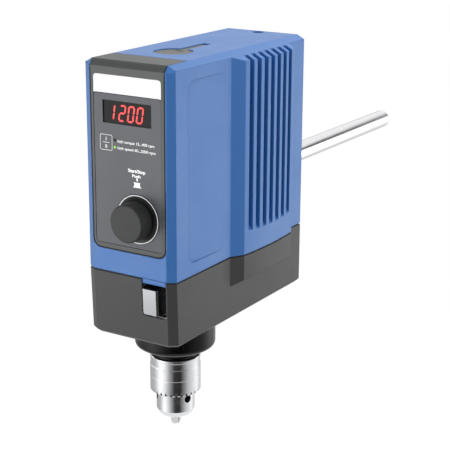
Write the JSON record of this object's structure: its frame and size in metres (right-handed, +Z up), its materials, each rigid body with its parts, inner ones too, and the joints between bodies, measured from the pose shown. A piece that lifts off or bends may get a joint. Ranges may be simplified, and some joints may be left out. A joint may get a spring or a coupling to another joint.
{
  "type": "overhead stirrer",
  "caption": "Bench-top overhead stirrer: tall housing with control panel and knob, keyed three-jaw chuck on a hollow spindle, round rear support arm.",
  "frame": {"origin": "on the axis of the support arm, where the arm leaves the rear face of the housing", "axes": "+Y along the support arm to the rear, +X to the right seen from the control panel, +Z up along the spindle"},
  "size_m": [0.0912, 0.4247, 0.2871],
  "materials": {
    "blue_shell": "satin lacquer",
    "dark_casting": "fine matt coat",
    "black_rubber": "matt",
    "steel_screws": "bright",
    "black_screws": "black oxide",
    "bezel_plastic": "satin",
    "grey_sheet": "satin film",
    "white_sheet": "satin film",
    "dark_window": "gloss",
    "display_block": "gloss",
    "lamp_dark": "gloss",
    "lamp_green": "lit",
    "ring_plastic": "satin",
    "encoder_metal": "satin",
    "circuit_board": "lacquered",
    "bright_chrome": "bright",
    "grey_plastic": "satin",
    "polished_steel": "polished",
    "cast_aluminium": "cast",
    "motor_steel": "zinc plated",
    "motor_core": "lacquered",
    "bearing_steel": "ground",
    "gear_steel": "machined",
    "collar_black": "satin",
    "black_plastic": "satin",
    "chuck_steel": "ground and plated",
    "jaw_steel": "ground",
    "knob_plastic": "satin",
    "cover_plastic": "matt"
  },
  "bodies": {
    "housing": {"upper_housing": "blue_shell", "lower_housing": "dark_casting", "seam_gasket": "black_rubber", "housing_screws": "steel_screws", "front_bezel": "bezel_plastic", "panel_membrane": "grey_sheet", "header_strip": "white_sheet", "display_window": "dark_window", "display_module": "display_block", "range_lamp_low": "lamp_dark", "range_lamp_high": "lamp_green", "knob_ring": "ring_plastic", "encoder_housing": "encoder_metal", "control_board": "circuit_board", "drive_board": "circuit_board", "board_screws": "steel_screws", "shift_tray": "bright_chrome", "cover_pin": "steel_screws", "guide_tube": "grey_plastic", "support_arm": "polished_steel", "arm_bracket": "cast_aluminium", "arm_screws": "steel_screws", "drive_plate": "cast_aluminium", "plate_screws": "steel_screws", "motor_case": "motor_steel", "motor_stator": "motor_core", "motor_screws": "steel_screws", "idler_bearings": "bearing_steel", "spindle_bearing_upper": "bearing_steel", "spindle_bearing_lower": "bearing_steel", "spindle_collar": "collar_black", "collar_screws": "black_screws", "spindle_seal": "black_rubber", "power_inlet": "black_plastic", "inlet_screws": "steel_screws", "switch_frame": "black_plastic", "rocker_pin": "steel_screws"},
    "spindle": {"hollow_spindle": "bearing_steel", "spindle_gear": "gear_steel", "lock_ring": "collar_black", "chuck_body": "chuck_steel"},
    "sleeve": {"chuck_sleeve": "chuck_steel", "chuck_nut": "gear_steel"},
    "jaw_1": {"chuck_jaw_1": "jaw_steel"},
    "jaw_2": {"chuck_jaw_2": "jaw_steel"},
    "jaw_3": {"chuck_jaw_3": "jaw_steel"},
    "idler": {"idler_shaft": "bearing_steel", "idler_gear": "gear_steel", "idler_pinion": "gear_steel"},
    "rotor": {"motor_rotor": "motor_core", "drive_pinion": "gear_steel", "cooling_fan": "black_plastic"},
    "encoder": {"encoder_wheel": "grey_plastic"},
    "knob": {"encoder_shaft": "encoder_metal", "control_knob": "knob_plastic"},
    "shift": {"shift_button": "bright_chrome", "shift_plate": "gear_steel"},
    "cover": {"shaft_cover": "cover_plastic"},
    "rocker": {"power_rocker": "black_plastic"}
  },
  "joints": [
    {"name": "spindle_spin", "type": "hinge", "parent": "housing", "child": "spindle", "pos_m": [0, -0.1245, -0.0416], "axis": [0, 0, 1], "continuous": true},
    {"name": "idler_spin", "type": "hinge", "parent": "housing", "child": "idler", "pos_m": [0, -0.093, -0.0416], "axis": [0, 0, 1], "continuous": true},
    {"name": "rotor_spin", "type": "hinge", "parent": "housing", "child": "rotor", "pos_m": [0, -0.0645, -0.0416], "axis": [0, 0, 1], "continuous": true},
    {"name": "sleeve_turn", "type": "hinge", "parent": "spindle", "child": "sleeve", "pos_m": [0, -0.1245, -0.1193], "axis": [0, 0, 1], "range_deg": [0, 2173.3]},
    {"name": "jaw_1_slide", "type": "slide", "parent": "spindle", "child": "jaw_1", "axis": [0.1862, 0.1798, 0.9659], "range_m": [0, 0.01932]},
    {"name": "jaw_2_slide", "type": "slide", "parent": "spindle", "child": "jaw_2", "axis": [-0.2488, 0.0713, 0.9659], "range_m": [0, 0.01932]},
    {"name": "jaw_3_slide", "type": "slide", "parent": "spindle", "child": "jaw_3", "axis": [0.0626, -0.2511, 0.9659], "range_m": [0, 0.01932]},
    {"name": "knob_turn", "type": "hinge", "parent": "housing", "child": "encoder", "pos_m": [0.0078, -0.181, 0.0006], "axis": [0, 1, 0], "continuous": true},
    {"name": "knob_push", "type": "slide", "parent": "encoder", "child": "knob", "axis": [0, 1, 0], "range_m": [0, 0.0008], "stiffness_N_per_m": 2500, "springref_m": -0.0006},
    {"name": "shift_slide", "type": "slide", "parent": "housing", "child": "shift", "axis": [1, 0, 0], "range_m": [0, 0.004]},
    {"name": "cover_swing", "type": "hinge", "parent": "housing", "child": "cover", "pos_m": [0, -0.083, 0.1082], "axis": [-1, 0, 0], "range_deg": [0, 95]},
    {"name": "rocker_tip", "type": "hinge", "parent": "housing", "child": "rocker", "pos_m": [0, 0, 0.0744], "axis": [1, 0, 0], "range_deg": [0, 18]}
  ],
  "couplings": [
    {"joint": "idler_spin", "follows": "spindle_spin", "ratio": -2},
    {"joint": "rotor_spin", "follows": "spindle_spin", "ratio": 4.3333},
    {"joint": "jaw_1_slide", "follows": "sleeve_turn", "m_per_rad": 0.00050932},
    {"joint": "jaw_2_slide", "follows": "sleeve_turn", "m_per_rad": 0.00050932},
    {"joint": "jaw_3_slide", "follows": "sleeve_turn", "m_per_rad": 0.00050932}
  ]
}
